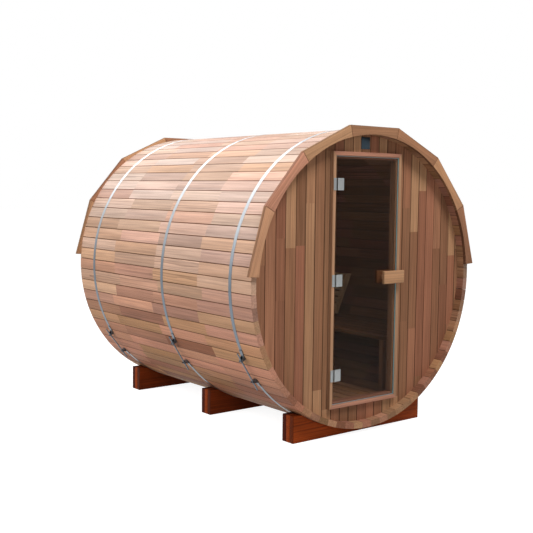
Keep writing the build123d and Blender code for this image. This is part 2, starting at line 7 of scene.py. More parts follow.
import bmesh
import bpy
from mathutils import Matrix, Vector


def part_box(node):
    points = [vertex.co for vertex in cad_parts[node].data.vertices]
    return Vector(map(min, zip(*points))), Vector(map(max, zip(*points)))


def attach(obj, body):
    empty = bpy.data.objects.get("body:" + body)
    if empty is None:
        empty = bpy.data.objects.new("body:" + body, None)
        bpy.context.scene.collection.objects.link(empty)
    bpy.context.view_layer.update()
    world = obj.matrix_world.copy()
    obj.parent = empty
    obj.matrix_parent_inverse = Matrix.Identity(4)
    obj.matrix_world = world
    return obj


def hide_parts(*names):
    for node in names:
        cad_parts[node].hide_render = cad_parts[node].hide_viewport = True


bl_info = {
    "name": "Barrel Sauna",
    "version": (1, 0, 0),
    "blender": (4, 5, 0),
    "location": "View3D > Sidebar > Sauna",
    "description": "Dresses a barrel sauna in cedar boards, steel and glass",
    "category": "Object",
}

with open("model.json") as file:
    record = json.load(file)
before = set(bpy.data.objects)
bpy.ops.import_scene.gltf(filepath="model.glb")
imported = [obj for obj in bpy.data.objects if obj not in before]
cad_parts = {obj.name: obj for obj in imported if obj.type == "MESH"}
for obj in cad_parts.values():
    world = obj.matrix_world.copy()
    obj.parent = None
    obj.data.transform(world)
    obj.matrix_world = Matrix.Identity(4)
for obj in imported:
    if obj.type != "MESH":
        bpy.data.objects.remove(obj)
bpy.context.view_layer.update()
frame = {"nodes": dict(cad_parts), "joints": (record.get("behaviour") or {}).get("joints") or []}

# Places read from the frame, in metres
STAVE_NODES = sorted(name for name in frame["nodes"] if name.startswith("staves_"))
WALL_LOW, WALL_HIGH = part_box("rear_wall")
AXIS_Z = (WALL_LOW.z + WALL_HIGH.z) / 2
WALL_RADIUS = (WALL_HIGH.z - WALL_LOW.z) / 2
STAVE_LOW, STAVE_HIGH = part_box("staves_01")
BARREL_RADIUS = STAVE_HIGH.z - AXIS_Z
HEAD_LOW, HEAD_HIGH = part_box("door_head")
SILL_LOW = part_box("door_sill")[0]
JAMB_LOW, JAMB_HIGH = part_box("door_jamb_right")
GLASS_LOW, GLASS_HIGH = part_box("door_glass")
PIVOT = Vector(
    next(joint["pos_m"] for joint in frame["joints"] if joint["name"] == "door_hinge")
)

# A wall stands in the plane of its boards: local X across, local Y up, local Z to the front
FACING_FRONT = Matrix(((1, 0, 0, 0), (0, 0, -1, 0), (0, 1, 0, AXIS_Z), (0, 0, 0, 1)))
# A cross timber runs along X: local Y along it, local X up, local Z to the back
CROSSWISE = Matrix(((0, 1, 0, 0), (0, 0, 1, 0), (1, 0, 0, 0), (0, 0, 0, 1)))
# The handle runs along X as well: local Y along it, local X down, local Z to the front
HANDLE_WISE = Matrix(((0, 1, 0, 0), (0, 0, -1, 0), (-1, 0, 0, 0), (0, 0, 0, 1)))
# A screw stands on the front: local Z runs to the front
TO_FRONT = Matrix.Rotation(math.pi / 2, 4, "X")

# Painted highlight and shade: heights between which the hoops turn from the shaded colour to the
# bright one
PAINTED_SHADE_BELOW = AXIS_Z - 0.1
PAINTED_HIGHLIGHT_ABOVE = AXIS_Z + 0.85

# Painted sheen: the staves are paler down to one angle from the top, and less and less to the next
FULL_SHEEN_TO = 60
NO_SHEEN_FROM = 116
PAINTED_SHEEN = 0.66

# Joints and eased edges, in metres
SPLICE_SPREAD = 0.045
SHORTEST_PIECE = 0.3
GROOVE_CLEARANCE = 0.002
TRIM_LIP = 0.002
ARC_STEP = 0.06
MITRE_TURN = 0.0004
MITRE_SEAM = 0.0002
PLY_SEAM = 0.0006
SADDLE_CLEARANCE = 0.0012
EASED_EDGE = 0.003
TRIM_EDGE = 0.002
FRAME_EDGE = 0.0018
STOP_EDGE = 0.001
STOP_CLEARANCE = 0.007
ON_A_LINE = 0.0005

# Pane and fittings, in metres
PANE_CORNER = 0.004
PANE_EDGE = 0.0008
RIM_WIDTH = 0.001
STEEL_EDGE = 0.0012
KNUCKLE_GAP = 0.001
CLAMP_CLEARANCE = 0.005
HINGE_SCREW_RISE = 0.026
PLATE_CENTRE_X = -0.011
PLATE_RISE = 0.9655
PLATE_THICKNESS = 0.004
PLATE_SCREW_SHARE = 0.42
BAND_TOP = 0.0015
EAR_CLEARANCE = 0.0003
ROD_HEIGHT = 0.025
REAR_TENSIONER_TURN = math.radians(4.8)

# Studio: each lamp has a name, a place, a point that it faces, a side in metres and a power
LAMPS = (
    ("overhead", (-1.0, 0.5, 7.0), (0, 0, 1.0), 5.0, 150),
    ("left", (-7.0, 1.5, 4.9), (0, 0, 1.2), 6.0, 495),
    ("behind", (0.5, 8.0, 5.8), (0, 0, 1.5), 6.0, 190),
    ("front", (0.0, -4.9, 7.9), (0, 0, 1.1), 2.5, 480),
    ("doorway", (-3.5, -6.5, 2.6), (0.8, 0.4, 1.1), 1.0, 45),
    ("indoors", (-0.35, -0.7, 1.75), (0.75, 0.1, 1.1), 0.3, 1.6),
)
AMBIENT = 0.28
FLOOR_GREY = 0.42
FLOOR_GLOW = 0.9
FLOOR_REACH = 60
CAMERA_PLACE = (-4.5513, -5.7191, 1.7366)
CAMERA_YAW, CAMERA_PITCH, CAMERA_ROLL = 0.6715, -0.0852, 0.0117
CAMERA_LENS = 61.04


def srgb(red, green, blue):
    """A colour written as it looks on screen, turned to the linear values that shaders take."""
    return tuple(
        channel / 12.92 if channel <= 0.04045 else ((channel + 0.055) / 1.055) ** 2.4
        for channel in (red, green, blue)
    )


def colour_property(name, description, colour):
    return bpy.props.FloatVectorProperty(
        name=name, description=description, subtype="COLOR", size=3, min=0, max=1, default=colour
    )


def length_property(name, description, length):
    return bpy.props.FloatProperty(
        name=name, description=description, unit="LENGTH", min=0, default=length
    )


class SaunaSizes(bpy.types.PropertyGroup):
    """Sizes of the boards and fittings."""

    stave_count: bpy.props.IntProperty(
        name="Staves", description="Staves round the barrel", default=76
    )
    stave_thickness: length_property("Stave thickness", "Thickness of a stave", 0.042)
    stave_gap: length_property("Stave gap", "Gap between two staves on the outside", 0.0014)
    stave_edge: length_property("Stave edge", "Rounding of a stave's long edges", 0.0027)
    stave_piece: length_property("Stave piece", "Length of one finger-jointed piece", 0.6)
    board_pitch: length_property("Wall board", "Width of one wall board", 0.0858)
    board_chamfer: length_property("Wall chamfer", "Chamfer along a wall board", 0.0045)
    wall_thickness: length_property("Wall thickness", "Thickness of the end walls", 0.042)
    trim_angle: bpy.props.FloatProperty(
        name="Trim angle", description="Angle of one trim board", subtype="ANGLE",
        default=math.radians(24.6),
    )
    trim_count: bpy.props.IntProperty(
        name="Trim boards", description="Trim boards on an end", default=7
    )
    frame_face: length_property("Frame face", "Face width of the door frame", 0.028)
    stop_lap: length_property("Stop lap", "How far the stop stands in behind the frame", 0.020)
    hinge_height: length_property("Hinge height", "Height of a hinge", 0.084)
    hinge_plate: length_property("Hinge plate", "Thickness of a hinge's plates", 0.005)
    ear_angle: bpy.props.FloatProperty(
        name="Ear angle", description="Upper ear of a tensioner, from the top of the barrel",
        subtype="ANGLE", default=math.radians(118.2),
    )
    ear_span: length_property("Ear span", "Distance between the two ears round the hoop", 0.172)
    nut_radius: length_property("Nut", "Radius of a tensioner's nut over its corners", 0.009)
    plate_side: length_property("Blank plate", "Side of the blank plate over the door", 0.084)
    floor_board: length_property("Floor board", "Width of a floor board", 0.090)
    floor_gap: length_property("Floor gap", "Gap between two floor boards", 0.010)
    bench_slat: length_property("Bench slat", "Width of a bench slat", 0.085)
    bench_gap: length_property("Bench gap", "Gap between two bench slats", 0.012)


class SaunaColours(bpy.types.PropertyGroup):
    """Colours of the timber, steel and glass."""

    cedar_pink: colour_property("Cedar pink", "Pink heartwood", srgb(0.76, 0.55, 0.46))
    cedar_tan: colour_property("Cedar tan", "Tan heartwood", srgb(0.75, 0.58, 0.44))
    cedar_ochre: colour_property("Cedar ochre", "Golden heartwood", srgb(0.70, 0.53, 0.38))
    cedar_brown: colour_property("Cedar brown", "Brown heartwood", srgb(0.585, 0.42, 0.315))
    cedar_red: colour_property("Cedar red", "Red heartwood", srgb(0.61, 0.41, 0.32))
    cedar_pale: colour_property("Cedar pale", "Pale sapwood", srgb(0.72, 0.56, 0.44))
    # Pale tone of the painted sheen on the upper staves
    cedar_sheen: colour_property("Cedar sheen", "Sunlit staves", srgb(0.80, 0.735, 0.70))
    aspen: colour_property("Aspen", "Pale slats of the backrest", srgb(0.94, 0.84, 0.69))
    stain_dark: colour_property("Dark stain", "Stained cradle timber", srgb(0.31, 0.10, 0.04))
    stain_warm: colour_property("Warm stain", "Stained cradle heart", srgb(0.62, 0.27, 0.10))
    glass_tint: colour_property("Glass tint", "Tint of the door glass", srgb(0.66, 0.62, 0.585))
    # Colour of the pane's rim and of its painted glow
    glass_edge_and_glow: colour_property("Glass edge and glow", "Ground rim of the door glass", srgb(0.48, 0.74, 0.80))
    band_steel: colour_property("Band steel", "Stainless hoops, bright top", srgb(0.80, 0.82, 0.84))
    # Painted shade on the hoops' lower sides
    band_painted_shade: colour_property("Band painted shade", "Stainless hoops, painted shade on the sides", srgb(0.39, 0.42, 0.45))
    hinge_steel: colour_property("Hinge steel", "Satin hinges", srgb(0.56, 0.57, 0.57))
    plate_bronze: colour_property("Plate bronze", "Plate over the door", srgb(0.20, 0.24, 0.27))


def sizes():
    return bpy.context.scene.sauna_sizes


def colours():
    return bpy.context.scene.sauna_colours


# Shader groups


def new_group(name, inputs, outputs):
    """A shader node group with named sockets, each given as (name, type, default)."""
    group = bpy.data.node_groups.new(name, "ShaderNodeTree")
    for socket_name, kind, default in inputs:
        socket = group.interface.new_socket(socket_name, in_out="INPUT", socket_type=kind)
        if default is not None:
            socket.default_value = default
    for socket_name, kind in outputs:
        group.interface.new_socket(socket_name, in_out="OUTPUT", socket_type=kind)
    return group, group.nodes.new("NodeGroupInput"), group.nodes.new("NodeGroupOutput")


def add_node(tree, kind, values=None, **settings):
    """A node with its settings and the default values of its sockets."""
    node = tree.nodes.new(kind)
    for key, value in settings.items():
        setattr(node, key, value)
    for key, value in (values or {}).items():
        node.inputs[key].default_value = value
    return node


def math_node(tree, operation, first, second=None, third=None):
    """A Math node; each operand is a number or a socket."""
    node = tree.nodes.new("ShaderNodeMath")
    node.operation = operation
    for index, operand in enumerate((first, second, third)):
        if isinstance(operand, bpy.types.NodeSocket):
            tree.links.new(operand, node.inputs[index])
        elif operand is not None:
            node.inputs[index].default_value = operand
    return node.outputs[0]


def scaled_noise(tree, vector, scale, detail=2.0):
    """Noise whose cells are stretched by scale, three numbers in cells per metre."""
    stretch = add_node(tree, "ShaderNodeVectorMath", operation="MULTIPLY")
    stretch.inputs[1].default_value = scale
    tree.links.new(vector, stretch.inputs[0])
    noise = add_node(
        tree, "ShaderNodeTexNoise", {"Scale": 1.0, "Detail": detail, "Roughness": 0.55}
    )
    tree.links.new(stretch.outputs[0], noise.inputs["Vector"])
    return noise


def wood_group():
    """Growth rings, streaks and fibre of a sawn board, from its own grain coordinates."""
    group, entry, leave = new_group(
        "Sawn wood",
        [
            ("Grain", "NodeSocketVector", None),
            ("Tone", "NodeSocketColor", (0.5, 0.3, 0.2, 1)),
            ("Ring spacing", "NodeSocketFloat", 0.004),
            ("Ring depth", "NodeSocketFloat", 0.3),
            ("Streaks", "NodeSocketFloat", 0.5),
        ],
        [
            ("Color", "NodeSocketColor"),
            ("Roughness", "NodeSocketFloat"),
            ("Height", "NodeSocketFloat"),
        ],
    )
    link = group.links.new
    grain = entry.outputs["Grain"]

    # The grain sways a little from side to side
    warp = scaled_noise(group, grain, (9, 0.8, 9))
    centred = add_node(group, "ShaderNodeVectorMath", operation="SUBTRACT")
    centred.inputs[1].default_value = (0.5, 0.5, 0.5)
    link(warp.outputs["Color"], centred.inputs[0])
    sway = add_node(group, "ShaderNodeVectorMath", operation="SCALE", values={"Scale": 0.014})
    link(centred.outputs[0], sway.inputs[0])
    swayed = add_node(group, "ShaderNodeVectorMath", operation="ADD")
    link(grain, swayed.inputs[0])
    link(sway.outputs[0], swayed.inputs[1])

    # Growth rings about the local Y axis, dark towards the latewood and drawn out along the board
    rings = add_node(
        group, "ShaderNodeTexWave", {"Distortion": 1.2, "Detail": 2.0, "Detail Scale": 1.5},
        wave_type="RINGS", rings_direction="Y", wave_profile="SAW",
    )
    link(math_node(group, "DIVIDE", 0.314, entry.outputs["Ring spacing"]), rings.inputs["Scale"])
    flat_run = add_node(group, "ShaderNodeVectorMath", operation="MULTIPLY")
    flat_run.inputs[1].default_value = (1, 0.02, 1)
    link(swayed.outputs[0], flat_run.inputs[0])
    link(flat_run.outputs[0], rings.inputs["Vector"])
    latewood = math_node(group, "POWER", rings.outputs["Fac"], 2.5)

    streak = scaled_noise(group, swayed.outputs[0], (85, 1.6, 85), 6.0)
    hue = scaled_noise(group, grain, (24, 0.7, 24))
    blotch = scaled_noise(group, grain, (6, 1.6, 6))
    fibre = scaled_noise(group, grain, (1100, 22, 1100), 1.0)

    # Streaks, rings, blotches and fibre each make the wood lighter or darker
    def about_zero(noise):
        return math_node(group, "SUBTRACT", noise.outputs["Fac"], 0.5)

    light = math_node(group, "MULTIPLY_ADD", about_zero(streak), entry.outputs["Streaks"], 1.0)
    ring_shade = math_node(group, "MULTIPLY", latewood, entry.outputs["Ring depth"])
    light = math_node(group, "SUBTRACT", light, ring_shade)
    light = math_node(group, "MULTIPLY_ADD", about_zero(blotch), 0.35, light)
    light = math_node(group, "MULTIPLY_ADD", about_zero(fibre), 0.12, light)

    redder = add_node(group, "ShaderNodeMix", data_type="RGBA", blend_type="MULTIPLY")
    redder.inputs["B"].default_value = (1.0, 0.92, 0.85, 1)
    link(entry.outputs["Tone"], redder.inputs["A"])
    link(hue.outputs["Fac"], redder.inputs["Factor"])
    shade = add_node(group, "ShaderNodeVectorMath", operation="SCALE")
    link(redder.outputs["Result"], shade.inputs[0])
    link(light, shade.inputs["Scale"])
    link(shade.outputs[0], leave.inputs["Color"])

    rough = math_node(group, "MULTIPLY_ADD", streak.outputs["Fac"], 0.18, 0.48)
    link(rough, leave.inputs["Roughness"])
    height = math_node(group, "MULTIPLY_ADD", fibre.outputs["Fac"], 0.5, latewood)
    link(height, leave.inputs["Height"])
    return group


def brushed_group():
    """Brushed steel on Object coordinates, with painted highlight and shade: the top is bright, and
    lower down it is darker.
    """
    group, entry, leave = new_group(
        "Brushed steel",
        [
            ("Vector", "NodeSocketVector", None),
            ("Color", "NodeSocketColor", (0.6, 0.6, 0.6, 1)),
            ("Painted Shade Color", "NodeSocketColor", (0.6, 0.6, 0.6, 1)),
            ("Roughness", "NodeSocketFloat", 0.35),
        ],
        [
            ("Color", "NodeSocketColor"),
            ("Roughness", "NodeSocketFloat"),
            ("Height", "NodeSocketFloat"),
        ],
    )
    link = group.links.new
    lines = scaled_noise(group, entry.outputs["Vector"], (300, 2500, 300), 2.0)
    smudge = scaled_noise(group, entry.outputs["Vector"], (14, 14, 14), 3.0)
    tone = math_node(group, "MULTIPLY_ADD", smudge.outputs["Fac"], 0.24, 0.88)
    parts = add_node(group, "ShaderNodeSeparateXYZ")
    link(entry.outputs["Vector"], parts.inputs[0])
    # Painted highlight and shade: the colour turns from the shaded one low down to the bright one at
    # the top
    highlight_share = add_node(group, "ShaderNodeMapRange", interpolation_type="SMOOTHSTEP")
    highlight_share.inputs["From Min"].default_value = PAINTED_SHADE_BELOW
    highlight_share.inputs["From Max"].default_value = PAINTED_HIGHLIGHT_ABOVE
    link(parts.outputs["Z"], highlight_share.inputs["Value"])
    colour = add_node(group, "ShaderNodeMix", data_type="RGBA")
    link(highlight_share.outputs["Result"], colour.inputs["Factor"])
    link(entry.outputs["Painted Shade Color"], colour.inputs["A"])
    link(entry.outputs["Color"], colour.inputs["B"])
    shade = add_node(group, "ShaderNodeVectorMath", operation="SCALE")
    link(colour.outputs["Result"], shade.inputs[0])
    link(tone, shade.inputs["Scale"])
    link(shade.outputs[0], leave.inputs["Color"])
    spread = math_node(group, "MULTIPLY_ADD", smudge.outputs["Fac"], 0.2, -0.1)
    spread = math_node(group, "MULTIPLY_ADD", lines.outputs["Fac"], 0.12, spread)
    link(math_node(group, "ADD", entry.outputs["Roughness"], spread), leave.inputs["Roughness"])
    link(lines.outputs["Fac"], leave.inputs["Height"])
    return group


def shared_group(name, builder):
    return bpy.data.node_groups.get(name) or builder()


# Materials


def new_material(name):
    material = bpy.data.materials.new(name)
    material.use_nodes = True
    return material, material.node_tree, material.node_tree.nodes["Principled BSDF"]


def dress(material, tree, shader, group_node, bump_depth):
    """Feeds a group's colour, roughness and height into the material's own shader."""
    bump = add_node(tree, "ShaderNodeBump", {"Distance": bump_depth, "Strength": 1.0})
    tree.links.new(group_node.outputs["Height"], bump.inputs["Height"])
    tree.links.new(bump.outputs["Normal"], shader.inputs["Normal"])
    tree.links.new(group_node.outputs["Color"], shader.inputs["Base Color"])
    tree.links.new(group_node.outputs["Roughness"], shader.inputs["Roughness"])
    return material


def wood_material(name, ring_spacing, ring_depth, streaks):
    """Sawn timber that follows each board's grain and tone attributes."""
    found = bpy.data.materials.get(name)
    if found:
        return found
    material, tree, shader = new_material(name)
    grain = add_node(tree, "ShaderNodeAttribute", attribute_name="grain")
    tone = add_node(tree, "ShaderNodeAttribute", attribute_name="tone")
    wood = add_node(
        tree, "ShaderNodeGroup",
        node_tree=shared_group("Sawn wood", wood_group),
    )
    for socket_name, value in (
        ("Ring spacing", ring_spacing), ("Ring depth", ring_depth), ("Streaks", streaks),
    ):
        wood.inputs[socket_name].default_value = value
    tree.links.new(grain.outputs["Vector"], wood.inputs["Grain"])
    tree.links.new(tone.outputs["Color"], wood.inputs["Tone"])
    shader.inputs["Specular IOR Level"].default_value = 0.06
    return dress(material, tree, shader, wood, 0.0004)


def cedar():
    return wood_material("Oiled cedar", 0.0042, 0.36, 1.0)


def stained_timber():
    return wood_material("Stained timber", 0.006, 0.45, 1.5)


def steel_material(name, colour, roughness, painted_shade_colour=None):
    found = bpy.data.materials.get(name)
    if found:
        return found
    material, tree, shader = new_material(name)
    place = add_node(tree, "ShaderNodeTexCoord")
    steel = add_node(
        tree, "ShaderNodeGroup", node_tree=shared_group("Brushed steel", brushed_group)
    )
    steel.inputs["Color"].default_value = (*colour, 1)
    # Painted shade colour for the hoops' lower sides; other steel keeps one colour
    steel.inputs["Painted Shade Color"].default_value = (*(painted_shade_colour or colour), 1)
    steel.inputs["Roughness"].default_value = roughness
    tree.links.new(place.outputs["Object"], steel.inputs["Vector"])
    shader.inputs["Metallic"].default_value = 1.0
    return dress(material, tree, shader, steel, 0.00005)


def band_steel():
    return steel_material("Stainless band", colours().band_steel, 0.27, colours().band_painted_shade)


def hinge_steel():
    return steel_material("Satin steel", colours().hinge_steel, 0.42)


def glass_material():
    """Tinted glass; light falls through it unshaded, so that the room behind it is lit."""
    material, tree, shader = new_material("Tinted glass")
    shader.inputs["Base Color"].default_value = (*colours().glass_tint, 1)
    shader.inputs["Transmission Weight"].default_value = 1.0
    shader.inputs["Roughness"].default_value = 0.0
    shader.inputs["IOR"].default_value = 1.12
    path = add_node(tree, "ShaderNodeLightPath")
    clear = add_node(tree, "ShaderNodeBsdfTransparent")
    mixed = add_node(tree, "ShaderNodeMixShader")
    through = math_node(
        tree, "MAXIMUM", path.outputs["Is Shadow Ray"], path.outputs["Is Diffuse Ray"]
    )
    tree.links.new(through, mixed.inputs[0])
    tree.links.new(shader.outputs[0], mixed.inputs[1])
    tree.links.new(clear.outputs[0], mixed.inputs[2])
    tree.links.new(mixed.outputs[0], tree.nodes["Material Output"].inputs["Surface"])
    return material


def rim_glow_material():
    """The ground rim of the pane, with a painted glow: it emits faintly though it is no lamp."""
    material, tree, shader = new_material("Glass edge and glow")
    place = add_node(tree, "ShaderNodeTexCoord")
    mottle = scaled_noise(tree, place.outputs["Object"], (60, 60, 60))
    tone = add_node(tree, "ShaderNodeMix", data_type="RGBA")
    tone.inputs["A"].default_value = (*(0.85 * part for part in colours().glass_edge_and_glow), 1)
    tone.inputs["B"].default_value = (*colours().glass_edge_and_glow, 1)
    tree.links.new(mottle.outputs["Fac"], tone.inputs["Factor"])
    tree.links.new(tone.outputs["Result"], shader.inputs["Base Color"])
    shader.inputs["Roughness"].default_value = 0.35
    # Painted glow: the rim emits its own colour
    shader.inputs["Emission Color"].default_value = (*colours().glass_edge_and_glow, 1)
    shader.inputs["Emission Strength"].default_value = 0.4
    return material


# Timber


class Timber:
    """Gathers boards into one mesh, each with a tone and a stretch of grain of its own."""

    def __init__(self, seed, tones=(), spread=0.2):
        self.random = random.Random(seed)
        self.spread = spread
        self.tones = [Vector(tone) for tone in tones]
        self.mesh = bmesh.new()
        self.mesh.verts.layers.float_vector.new("grain")
        self.mesh.loops.layers.float_color.new("tone")

    def any_tone(self):
        """A tone between two of the timber's own, a little lighter or darker."""
        first, second = self.random.sample(self.tones, 2)
        mixed = first.lerp(second, self.random.uniform(0, 0.4))
        return mixed * self.random.uniform(1 - self.spread, 1 + self.spread)

    def add(self, board, place, tone=None, edge_shade=0.5, back_tone=None, end_shade=None):
        """Puts a board with its grain along local Y into its place; its joint edges are darker."""
        tone = Vector(tone) if tone is not None else self.any_tone()
        back_tone = back_tone or tone
        edge_tone = back_tone * edge_shade
        end_tone = tone * (end_shade or self.random.uniform(0.62, 1.0))
        shift = Vector((
            self.random.uniform(-0.20, 0.20),
            self.random.uniform(0, 60),
            self.random.uniform(-0.14, -0.03),
        ))
        board.normal_update()
        grain = board.verts.layers.float_vector.new("grain")
        tint = board.loops.layers.float_color.new("tone")
        for vertex in board.verts:
            vertex[grain] = vertex.co + shift
        for face in board.faces:
            if abs(face.normal.y) > 0.8:
                colour = end_tone
            elif abs(face.normal.z) < 0.95:
                colour = edge_tone
            else:
                colour = tone if face.normal.z > 0 else back_tone
            for loop in face.loops:
                loop[tint] = (*colour, 1)
        board.transform(place)
        scratch = bpy.data.meshes.new("board")
        board.to_mesh(scratch)
        board.free()
        self.mesh.from_mesh(scratch)
        bpy.data.meshes.remove(scratch)

    def finish(self, name, material, body, slot, *nodes):
        finish_piece(name, self.mesh, material, body, slot, *nodes)


def finish_piece(name, mesh_data, material, body, slot, *nodes):
    """Turns a bmesh into a piece that rides on a body and stands for the nodes named."""
    bmesh.ops.recalc_face_normals(mesh_data, faces=mesh_data.faces)
    mesh = bpy.data.meshes.new(name)
    mesh_data.to_mesh(mesh)
    mesh_data.free()
    mesh.shade_smooth()
    mesh.set_sharp_from_angle(angle=math.radians(38))
    piece = bpy.data.objects.new(name, mesh)
    bpy.context.scene.collection.objects.link(piece)
    mesh.materials.append(material)
    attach(piece, body)
    if nodes:
        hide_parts(*nodes)


def bevel(board, edges, offset, segments=2):
    bmesh.ops.bevel(
        board, geom=list(edges), offset=offset, offset_type="OFFSET", segments=segments,
        profile=0.5, affect="EDGES", clamp_overlap=True, material=-1,
    )


def plank(width, length, thickness, edge, inner_width=None, round_ends=False):
    """A board along Y with rounded long edges; its lower face may be narrower."""
    board = bmesh.new()
    bmesh.ops.create_cube(board, size=1)
    bmesh.ops.scale(board, vec=(width, length, thickness), verts=board.verts)
    if inner_width is not None:
        lower = [vertex for vertex in board.verts if vertex.co.z < 0]
        bmesh.ops.scale(board, vec=(inner_width / width, 1, 1), verts=lower)
    rounded = [
        line for line in board.edges
        if round_ends or abs(line.verts[0].co.y - line.verts[1].co.y) > length / 2
    ]
    bevel(board, rounded, edge)
    return board


def thicken(board, depth):
    """Gives a flat outline in the XY plane its thickness, towards +Z."""
    risen = bmesh.ops.extrude_face_region(board, geom=board.faces[:])
    top = [item for item in risen["geom"] if isinstance(item, bmesh.types.BMVert)]
    bmesh.ops.translate(board, vec=(0, 0, depth), verts=top)
    bmesh.ops.recalc_face_normals(board, faces=board.faces)
    return top


def keep_between(board, cuts):
    """Cuts a flat outline by lines, each a point on it and the direction that is cut away."""
    for point, away in cuts:
        everything = board.verts[:] + board.edges[:] + board.faces[:]
        bmesh.ops.bisect_plane(
            board, geom=everything, plane_co=point, plane_no=away, clear_outer=True
        )


def wall_board(left, right, low, high, thickness, chamfer):
    """One upright board of a round wall, cut off where it ends; None where nothing is left."""
    board = bmesh.new()
    bmesh.ops.create_circle(
        board, cap_ends=True, radius=WALL_RADIUS - GROOVE_CLEARANCE, segments=160
    )
    keep_between(board, (
        ((left, 0, 0), (-1, 0, 0)), ((right, 0, 0), (1, 0, 0)),
        ((0, low, 0), (0, -1, 0)), ((0, high, 0), (0, 1, 0)),
    ))
    if not board.faces:
        board.free()
        return None
    top = set(thicken(board, thickness))
    long_edges = [
        line for line in board.edges
        if line.verts[0] in top and line.verts[1] in top
        and abs(line.verts[0].co.x - line.verts[1].co.x) < ON_A_LINE
        and min(abs(line.verts[0].co.x - left), abs(line.verts[0].co.x - right)) < ON_A_LINE
    ]
    bevel(board, long_edges, chamfer, segments=1)
    return board


# Operators


class SAUNA_OT_staves(bpy.types.Operator):
    """Lay the staves of the barrel, each finger-jointed from short pieces"""

    bl_idname = "sauna.staves"
    bl_label = "Staves"

    def execute(self, context):
        size, colour = sizes(), colours()
        timber = Timber(11, (
            colour.cedar_pink, colour.cedar_tan, colour.cedar_ochre, colour.cedar_red,
            colour.cedar_pink, colour.cedar_tan,
        ))
        pitch = math.tau / size.stave_count
        outer = 2 * BARREL_RADIUS * math.tan(pitch / 2) - size.stave_gap
        inner = 2 * (BARREL_RADIUS - size.stave_thickness) * math.tan(pitch / 2)

        def next_splice(start):
            spread = timber.random.uniform(-SPLICE_SPREAD, SPLICE_SPREAD)
            return start + size.stave_piece + spread

        for index in range(size.stave_count):
            turn = Matrix.Translation((0, 0, AXIS_Z)) @ Matrix.Rotation(index * pitch, 4, "Y")
            from_top = math.degrees(min(index * pitch, math.tau - index * pitch))
            share = (NO_SHEEN_FROM - from_top) / (NO_SHEEN_FROM - FULL_SHEEN_TO)
            sunlit = PAINTED_SHEEN * min(1, max(0, share))
            start = STAVE_LOW.y
            splice = next_splice(start)
            while start < STAVE_HIGH.y:
                if STAVE_HIGH.y - splice < SHORTEST_PIECE:
                    splice = STAVE_HIGH.y
                piece = plank(outer, splice - start, size.stave_thickness, size.stave_edge,
                              inner_width=inner)
                centre = ((start + splice) / 2, BARREL_RADIUS - size.stave_thickness / 2)
                own_tone = timber.any_tone()
                # Painted sheen: each piece is mixed towards the pale sheen tone by its angle from
                # the top
                sheen_amount = sunlit * timber.random.uniform(0.5, 1.3)
                with_sheen = own_tone.lerp(Vector(colour.cedar_sheen), sheen_amount)
                # Painted shade: the inner faces, and the joint edges darkened from them, take the
                # piece's own tone darkened to three quarters
                timber.add(piece, turn @ Matrix.Translation((0, *centre)),
                           with_sheen * timber.random.uniform(0.88, 1.08), back_tone=own_tone * 0.75)
                start = splice
                splice = next_splice(start)
        timber.finish("staves", cedar(), "cabin", "cedar_staves", *STAVE_NODES)
        return {"FINISHED"}


class SAUNA_OT_trim(bpy.types.Operator):
    """Nail the mitred trim boards on both ends of the barrel"""

    bl_idname = "sauna.trim"
    bl_label = "Trim"

    def execute(self, context):
        size, colour = sizes(), colours()
        for seed, node, tones in (
            (5, "front_trim", (colour.cedar_brown, colour.cedar_pink, colour.cedar_tan)),
            (6, "rear_trim", (colour.cedar_brown, colour.cedar_red, colour.cedar_tan)),
        ):
            low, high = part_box(node)
            half = size.trim_angle / 2 - MITRE_TURN
            corner = (high.z - AXIS_Z) / math.cos(half)
            inner = BARREL_RADIUS - size.stave_thickness - TRIM_LIP
            timber = Timber(seed, tones)
            for index in range(size.trim_count):
                board = bmesh.new()
                arc_start = board.verts.new((inner * math.cos(half), -inner * math.sin(half), 0))
                bmesh.ops.spin(
                    board, geom=[arc_start], cent=(0, 0, 0), axis=(0, 0, 1), angle=2 * half,
                    steps=10,
                )
                arc = board.verts[:]
                far = board.verts.new((corner * math.cos(half), corner * math.sin(half), 0))
                near = board.verts.new((corner * math.cos(half), -corner * math.sin(half), 0))
                board.faces.new(arc + [far, near])
                thicken(board, high.y - low.y)
                straight = [line for line in board.edges if line.calc_length() > ARC_STEP]
                bevel(board, straight, TRIM_EDGE)
                turn = (index - (size.trim_count - 1) / 2) * size.trim_angle
                place = Matrix.Translation((0, high.y, 0)) @ FACING_FRONT
                timber.add(board, place @ Matrix.Rotation(math.pi / 2 - turn, 4, "Z"))
            timber.finish(node + "_boards", cedar(), "cabin", "cedar_trim", node)
        return {"FINISHED"}


